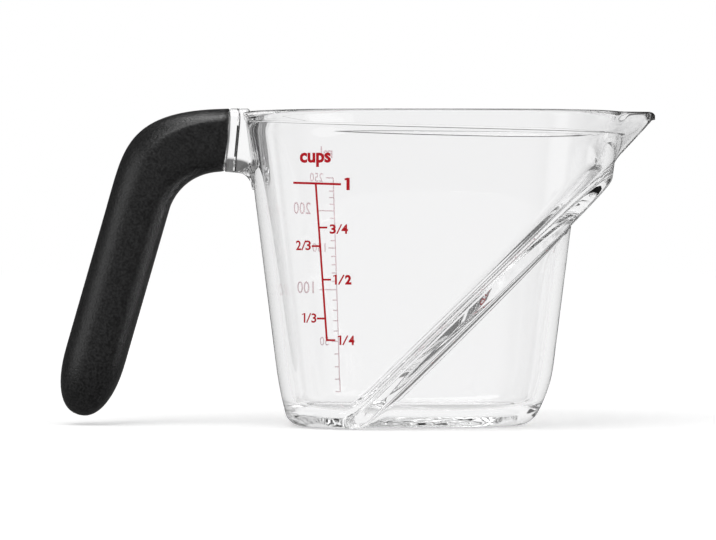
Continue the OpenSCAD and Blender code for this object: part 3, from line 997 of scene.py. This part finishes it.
white = (1, 1, 1, 1)
stage = dict(
    floorSize=6.0, floorDrop=0.0002, floorTone=0.8, floorRough=0.9,
    floorGlow=(0.42, 0.6), glowOver=(0.12, 0.9),
    floorClear=1.0, floorShine=0.12,   # the floor as clear walls and reflections show it
    cameraPlace=(-0.01998, -0.957, 0.0537), cameraPitch=0.7275, cameraLens=178.2,
    cameraSensor=36, cameraNear=0.05,
    # place, size and power
    keyLamp=((-0.25, -0.35, 0.9), 0.7, 3.5), fillLamp=((0.5, -0.5, 0.6), 0.6, 1.0), lampAim=(0, 0, 0.04),
    skyLight=0.5, lightBounces=32,
    roomLevel=0.15, roomShine=0.06, backdropWide=(0.82, 0.93), backdropTop=(0.1, 0.18),
    # direction, spread in degrees, and levels through clear walls and in reflections of each soft light
    softBoxes=(((0.2, -0.9, 0.4), 55, 0.8, 0.22), ((0.8, 0.3, 0.5), 32, 0.7, 0.15),
               ((-0.1, 0.3, 0.95), 10, 0.5, 7.0), ((-0.93, -0.25, 0.25), 16, 0.4, 1.5)),
    boxFade=(1.25, 0.7))


def makeFloor():
    clearSelection()
    bpy.ops.mesh.primitive_plane_add(size=stage["floorSize"], location=(0, 0, -stage["floorDrop"]))
    floor = bpy.context.object
    floor.name = "floor"
    bpy.ops.object.transform_apply(location=True, rotation=True, scale=True)
    finish, tree, shader = newFinish("paleFloor")
    shader["Roughness"].default_value = stage["floorRough"]
    shader["Specular IOR Level"].default_value = 0.0
    shader["Emission Color"].default_value = white
    rays = tree.nodes.new("ShaderNodeLightPath").outputs
    # the camera's glow grows away from the cup, so that the far floor runs into the white
    far = vectorCalc(tree, "LENGTH", objectPlace(tree))
    spread = ramp(tree, far, stage["glowOver"], stage["floorGlow"], soft=True)
    glow = calc(tree, "MULTIPLY", rays["Is Camera Ray"], spread)
    # a ray through a clear wall counts as glossy too, so it comes last
    glow = levelByRay(tree, rays, glow, (("Is Glossy Ray", stage["floorShine"]),
                                         ("Is Transmission Ray", stage["floorClear"])))
    tree.links.new(glow, shader["Emission Strength"])
    # clear walls and reflections show an even floor, the rest its light and shadow
    plain = calc(tree, "SUBTRACT", 1.0, rays["Is Glossy Ray"])
    tree.links.new(calc(tree, "MULTIPLY", plain, stage["floorTone"]), shader["Base Color"])
    dress(floor, finish)


# the camera sees white, plain surfaces an even light, and clear and shiny ones a studio:
# a white backdrop in a darker room with soft boxes
def makeSky():
    sky = bpy.data.worlds.new("studio")
    bpy.context.scene.world = sky
    sky.use_nodes = True
    tree = sky.node_tree
    toward = tree.nodes.new("ShaderNodeTexCoord").outputs["Generated"]
    x, y, z = axes(tree, toward)
    # white backdrop behind the cup, up to a low top edge
    side = calc(tree, "SINE", calc(tree, "ARCTAN2", y, x))
    backdrop = calc(tree, "MULTIPLY", ramp(tree, side, stage["backdropWide"], (0, 1), soft=True),
                    ramp(tree, z, stage["backdropTop"], (1, 0), soft=True))
    # round soft lights, each with a faded edge
    through, shine = stage["roomLevel"], stage["roomShine"]
    for aim, spread, clearLevel, shineLevel in stage["softBoxes"]:
        along = vectorCalc(tree, "DOT_PRODUCT", toward, [c / math.hypot(*aim) for c in aim])
        edges = [math.cos(math.radians(spread * share)) for share in stage["boxFade"]]
        box = ramp(tree, along, edges, (0, 1), soft=True)
        through = calc(tree, "ADD", calc(tree, "MULTIPLY", box, clearLevel), through)
        shine = calc(tree, "ADD", calc(tree, "MULTIPLY", box, shineLevel), shine)
    through = calc(tree, "MAXIMUM", through, backdrop)
    rays = tree.nodes.new("ShaderNodeLightPath").outputs
    strength = levelByRay(tree, rays, stage["skyLight"], (
        ("Is Glossy Ray", shine), ("Is Transmission Ray", through), ("Is Camera Ray", 1.0)))
    back = tree.nodes["Background"].inputs
    back["Color"].default_value = white
    tree.links.new(strength, back["Strength"])


def makeLamp(name):
    place, size, power = stage[name]
    clearSelection()
    bpy.ops.object.light_add(type="AREA", location=place)
    lamp = bpy.context.object
    lamp.name = name
    lamp.data.shape = "DISK"
    lamp.data.size = size
    lamp.data.energy = power
    x, y, z = add(stage["lampAim"], place, -1)
    lamp.rotation_euler = (math.atan2(math.hypot(x, y), -z), 0, math.atan2(y, x) - math.pi / 2)


def makeCamera():
    clearSelection()
    bpy.ops.object.camera_add(location=stage["cameraPlace"])
    camera = bpy.context.object
    camera.name = "photoCamera"
    camera.rotation_euler = (math.radians(90 - stage["cameraPitch"]), 0, 0)
    camera.data.lens = stage["cameraLens"]
    camera.data.sensor_width = stage["cameraSensor"]
    camera.data.clip_start = stage["cameraNear"]
    bpy.context.scene.camera = camera


makeFloor()
makeSky()
makeLamp("keyLamp")
makeLamp("fillLamp")
makeCamera()
bpy.context.scene.view_settings.view_transform = "Standard"
# light runs on inside the clear walls, seen edge-on
for kind in ("max_bounces", "glossy_bounces", "transmission_bounces"):
    setattr(bpy.context.scene.cycles, kind, stage["lightBounces"])
print("stage set")

clearSelection()
